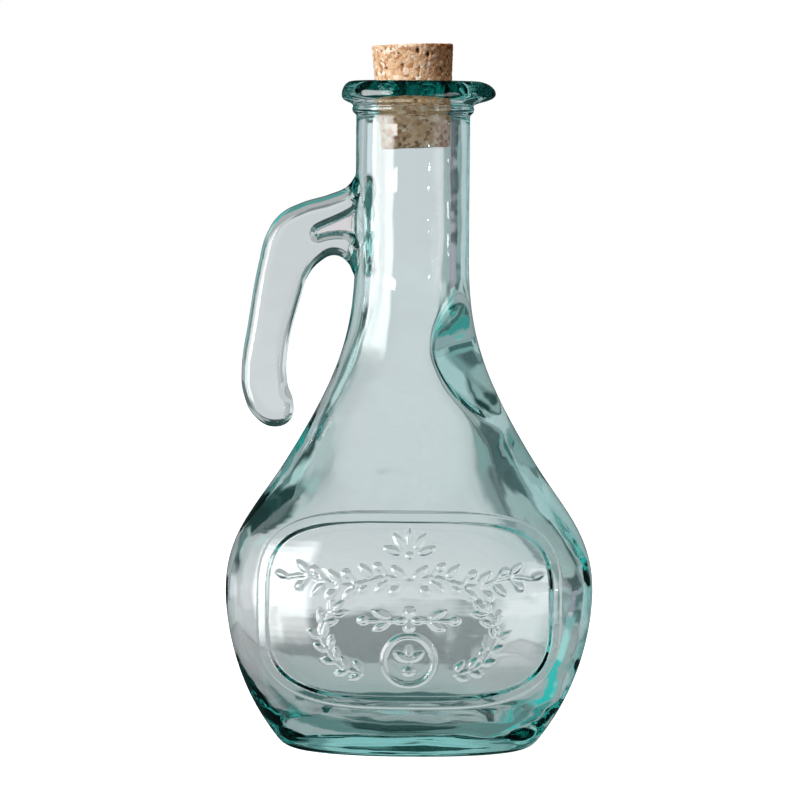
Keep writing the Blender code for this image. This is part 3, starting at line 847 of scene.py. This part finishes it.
studio = {
    "floorSize": 14.0,
    "floorColour": "#F7F7F5",
    "floorGlow": 1.04,  # the paper lies on a light table
    "cameraHeight": 0.183,
    "cameraDistance": 1.24,
    "cameraSide": -0.0034,
    "pitch": 3.34,
    "roll": 0.5,
    "lens": 175.95,
    "bounces": 24,  # light is thrown back and forth many times inside thick glass
    # lamp: place, aim, side of its square, strength, colour
    "lamps": {
        "key": ((-1.3, -0.9, 0.6), (0, 0, 0.15), 0.6, 33, (1, 1.15, 1.3)),
        "overhead": ((0.2, -0.6, 1.8), (0, 0, 0), 1.6, 2.7, (1, 0.8, 0.65)),
    },
    "room": (0.022, 0.052, 0.05),  # the unlit studio around the panels
    # panel: middle, half width and softness of its azimuth, then of its elevation, light
    # azimuth 0 is straight behind the bottle, right of it is positive
    "panels": {
        "backdrop": (1, 22, 3, 4, 10.8, 2, (0.74, 0.68, 0.70)),
        "backdrop's left end": (-23, 9, 4, 2, 9, 2, (0.52, 0.50, 0.505)),
        "backdrop's foot": (0, 15, 6, -4.5, 2.2, 1.5, (0.79, 0.735, 0.75)),
        "pale wall above, right": (38, 19, 4, 25, 10, 3, (0.50, 0.49, 0.49)),
        "pale wall's left end": (12, 7, 3, 21, 3.5, 2, (0.42, 0.44, 0.44)),
        "grey wall, right": (30, 10, 3, 6, 12, 3, (0.33, 0.35, 0.36)),
        "pale wall above, left": (-46, 18, 5, 19, 7, 3, (0.58, 0.68, 0.67)),
        "right flag": (48, 18, 4, 9, 8, 2, (0.11, 0.13, 0.135)),
        "left flag": (-30, 9, 3, 16, 7, 3, (0.15, 0.22, 0.215)),
        "left wall": (-90, 45, 8, -14, 12, 4, (0.5, 0.47, 0.5)),
        "left softbox": (-97, 38, 6, 9, 13, 4, (1.2, 1.2, 1.2)),
        "left panel": (-47, 13, 4, -1, 6, 4, (0.88, 0.83, 0.87)),
        "right wall": (53, 15, 4, -5.5, 5, 1, (0.40, 0.35, 0.40)),
        "green edge": (30, 8, 2, -4.5, 4.8, 1, (0.32, 0.42, 0.41)),
        "right reflector": (122, 16, 5, 2, 12, 5, (1.4, 1.4, 1.4)),
        "far table": (0, 200, 10, -10, 3.5, 0.5, (0.66, 0.63, 0.64)),
        "table at the bottle's foot": (0, 200, 10, -58, 16, 3, (0.17, 0.25, 0.245)),
        "near table": (0, 200, 10, -30, 17, 3, (0.50, 0.45, 0.46)),
        "dark board": (34, 12, 4, -8.5, 3.5, 1.5, (0.10, 0.15, 0.15)),
        "green shade": (16, 9, 4, -37, 9.5, 2.5, (0.08, 0.34, 0.32)),
        "light on the table, right": (52, 14, 4, -13, 4, 2, (0.28, 0.50, 0.49)),
        "table behind the bottle": (0, 3.6, 1.4, -22, 8, 1.5, (0.46, 0.46, 0.46)),
        "shaded middle of that table": (0.5, 2.6, 1.0, -11, 3.6, 0.7, (0.25, 0.245, 0.25)),
        "the bottle's own shadow": (1.5, 6.5, 1.5, -38, 9.5, 1.2, (0.08, 0.14, 0.135)),
        "light cast through the glass": (41, 11, 3, -34, 13, 5, (0.04, 0.58, 0.54)),
        "bright edge of that light": (49, 14, 5, -21, 4, 2, (0.5, 0.78, 0.75)),
        "green glow": (-68, 8, 4, 31, 5, 3, (0.2, 0.85, 0.8)),
        "front fill": (180, 70, 15, 20, 50, 10, (0.86, 0.84, 0.85)),
    },
    # the same for what the outside of the glass mirrors
    "mirrored": {
        "left softbox": (-115, 25, 4, 0, 20, 5, (10, 10, 10)),
        "window": (-136, 12, 1.5, 2.3, 1.9, 0.2, (16, 16, 16)),
        "room to the left": (-70, 16, 8, -6, 10, 4, (0.75, 0.75, 0.75)),
        "right softbox": (116, 9, 4, 0, 9, 4, (5, 5, 5)),
        "pale wall": (112, 26, 8, -0.5, 3, 1, (1.6, 1.3, 1.5)),
        "right bounce": (130, 16, 8, -17, 12, 3, (3, 3, 3)),
        "small window": (147, 1.5, 0.3, 0.2, 0.22, 0.06, (30, 30, 30)),
        "door": (103, 2.0, 0.5, -1.7, 0.8, 0.1, (14, 14, 14)),
    },
}


def makeFloor():
    bpy.ops.object.select_all(action="DESELECT")
    bpy.ops.mesh.primitive_plane_add(size=studio["floorSize"], location=(0, 0, 0))
    floor = bpy.context.active_object
    floor.name = "floor"
    material = bpy.data.materials.new("matt white paper on a light table")
    material.use_nodes = True
    shader = material.node_tree.nodes["Principled BSDF"]
    shader.inputs["Base Color"].default_value = linear(studio["floorColour"])
    shader.inputs["Roughness"].default_value = 0.9
    shader.inputs["Emission Color"].default_value = linear("#FFFFFF")
    shader.inputs["Emission Strength"].default_value = studio["floorGlow"]
    floor.data.materials.append(material)
    floor.visible_transmission = floor.visible_glossy = floor.visible_diffuse = False


def layPanels(tree, azimuth, elevation, panels):
    # each panel is laid over the ones before it
    light = None
    for middle, half, soft, height, halfHeight, softHeight, colour in panels.values():
        share = None
        for angle, centre, reach, edge in (
            (azimuth, middle, half, soft), (elevation, height, halfHeight, softHeight),
        ):
            away = addNode(tree, "ShaderNodeMath", {"operation": "SUBTRACT"})
            tree.links.new(angle.outputs[0], away.inputs[0])
            away.inputs[1].default_value = math.radians(centre)
            # the difference is folded into half a turn
            wrapped = addNode(tree, "ShaderNodeMath", {"operation": "WRAP"})
            tree.links.new(away.outputs[0], wrapped.inputs[0])
            wrapped.inputs[1].default_value, wrapped.inputs[2].default_value = math.pi, -math.pi
            size = addNode(tree, "ShaderNodeMath", {"operation": "ABSOLUTE"})
            tree.links.new(wrapped.outputs[0], size.inputs[0])
            inside = addNode(tree, "ShaderNodeMapRange", {
                "interpolation_type": "SMOOTHSTEP", "From Min": math.radians(reach - edge),
                "From Max": math.radians(reach + edge), "To Min": 1.0, "To Max": 0.0,
            }, {"Value": size.outputs[0]})
            if share is not None:
                both = addNode(tree, "ShaderNodeMath", {"operation": "MULTIPLY"})
                tree.links.new(share, both.inputs[0])
                tree.links.new(inside.outputs["Result"], both.inputs[1])
                share = both.outputs[0]
            else:
                share = inside.outputs["Result"]
        laid = addNode(tree, "ShaderNodeMix", {"data_type": "RGBA"})
        tree.links.new(share, laid.inputs[0])
        if light is None:
            laid.inputs[6].default_value = (*studio["room"], 1)
        else:
            tree.links.new(light, laid.inputs[6])
        laid.inputs[7].default_value = (*colour, 1)
        light = laid.outputs[2]
    return light


def makeWorld():
    # the camera sees white, rays through the glass meet the panels, rays off it the mirrored ones
    world = bpy.data.worlds.new("studio")
    bpy.context.scene.world = world
    world.use_nodes = True
    tree = world.node_tree
    background = tree.nodes["Background"]
    output = tree.nodes["World Output"]
    place = addNode(tree, "ShaderNodeTexCoord")
    axes = addNode(tree, "ShaderNodeSeparateXYZ", {}, {"Vector": place.outputs["Generated"]})
    azimuth = addNode(tree, "ShaderNodeMath", {"operation": "ARCTAN2"})
    tree.links.new(axes.outputs["X"], azimuth.inputs[0])
    tree.links.new(axes.outputs["Y"], azimuth.inputs[1])
    elevation = addNode(tree, "ShaderNodeMath", {"operation": "ARCSINE"})
    tree.links.new(axes.outputs["Z"], elevation.inputs[0])
    passed = layPanels(tree, azimuth, elevation, studio["panels"])
    mirrored = layPanels(tree, azimuth, elevation, studio["mirrored"])
    seen = addNode(tree, "ShaderNodeLightPath")
    light = addNode(tree, "ShaderNodeMix", {"data_type": "RGBA"})
    tree.links.new(seen.outputs["Is Transmission Ray"], light.inputs[0])
    tree.links.new(mirrored, light.inputs[6])
    tree.links.new(passed, light.inputs[7])
    tree.links.new(light.outputs[2], background.inputs["Color"])
    plain = addNode(tree, "ShaderNodeBackground", {"Color": linear("#FFFFFF"), "Strength": 1.0})
    choice = addNode(tree, "ShaderNodeMixShader", {}, {"Fac": seen.outputs["Is Camera Ray"]})
    tree.links.new(background.outputs["Background"], choice.inputs[1])
    tree.links.new(plain.outputs["Background"], choice.inputs[2])
    tree.links.new(choice.outputs["Shader"], output.inputs["Surface"])
    world.cycles_visibility.diffuse = False


def addSoftbox(name, place, aim, side, radiance, colour):
    # it lights the cork alone: the glass mirrors the world's panels instead
    light = bpy.data.lights.new(name, "AREA")
    light.shape = "RECTANGLE"
    light.size = light.size_y = side
    light.energy = radiance * math.pi * side * side
    light.color = colour
    lamp = bpy.data.objects.new(name, light)
    lamp.location = place
    lamp.rotation_euler = (Vector(aim) - Vector(place)).to_track_quat("-Z", "Y").to_euler()
    lamp.visible_camera = lamp.visible_transmission = lamp.visible_glossy = False
    bpy.context.scene.collection.objects.link(lamp)


def makeCamera():
    data = bpy.data.cameras.new("camera")
    data.lens = studio["lens"]
    data.sensor_width = 36.0
    data.clip_start = 0.05
    camera = bpy.data.objects.new("camera", data)
    camera.location = (studio["cameraSide"], -studio["cameraDistance"], studio["cameraHeight"])
    pitched = Matrix.Rotation(math.radians(90 - studio["pitch"]), 3, "X")
    camera.rotation_euler = (pitched @ Matrix.Rotation(math.radians(studio["roll"]), 3, "Z")).to_euler()
    bpy.context.scene.collection.objects.link(camera)
    bpy.context.scene.camera = camera


makeFloor()
makeWorld()
for name, lamp in studio["lamps"].items():
    addSoftbox(name, *lamp)
makeCamera()
scene = bpy.context.scene
scene.view_settings.view_transform = "Standard"
scene.cycles.max_bounces = scene.cycles.transmission_bounces = studio["bounces"]
scene.cycles.glossy_bounces = 12
scene.cycles.transparent_max_bounces = 16
print("studio set")
